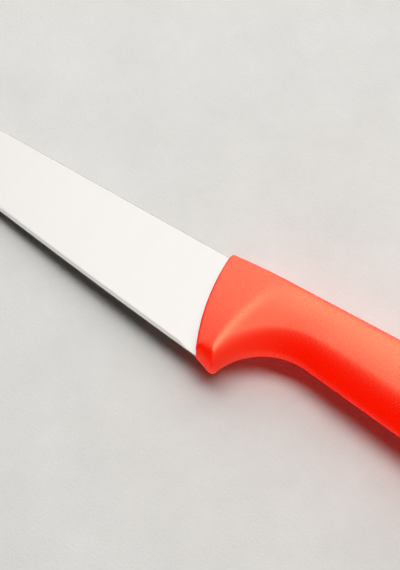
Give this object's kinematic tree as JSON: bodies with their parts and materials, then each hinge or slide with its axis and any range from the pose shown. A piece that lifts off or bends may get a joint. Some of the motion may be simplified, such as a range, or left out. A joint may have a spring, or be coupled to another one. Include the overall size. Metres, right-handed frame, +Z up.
{
  "type": "meat knife",
  "caption": "Long tapering flat-ground steel blade with a moulded red plastic handle that has a finger guard, a recess for the first finger and a hooked butt.",
  "frame": {"origin": "bottom centre of the bounding box of the knife as it lies on its flank, on the table", "axes": "+X from the blade's tip to the handle's butt, +Y from the cutting edge to the spine, +Z up from the table"},
  "size_m": [0.3058, 0.0426, 0.0237],
  "materials": {
    "steel": "fine satin grind",
    "plastic": "fine spark-eroded texture on the grip, smoother front"
  },
  "bodies": {
    "root": {"blade": "steel", "handle": "plastic"}
  },
  "joints": []
}
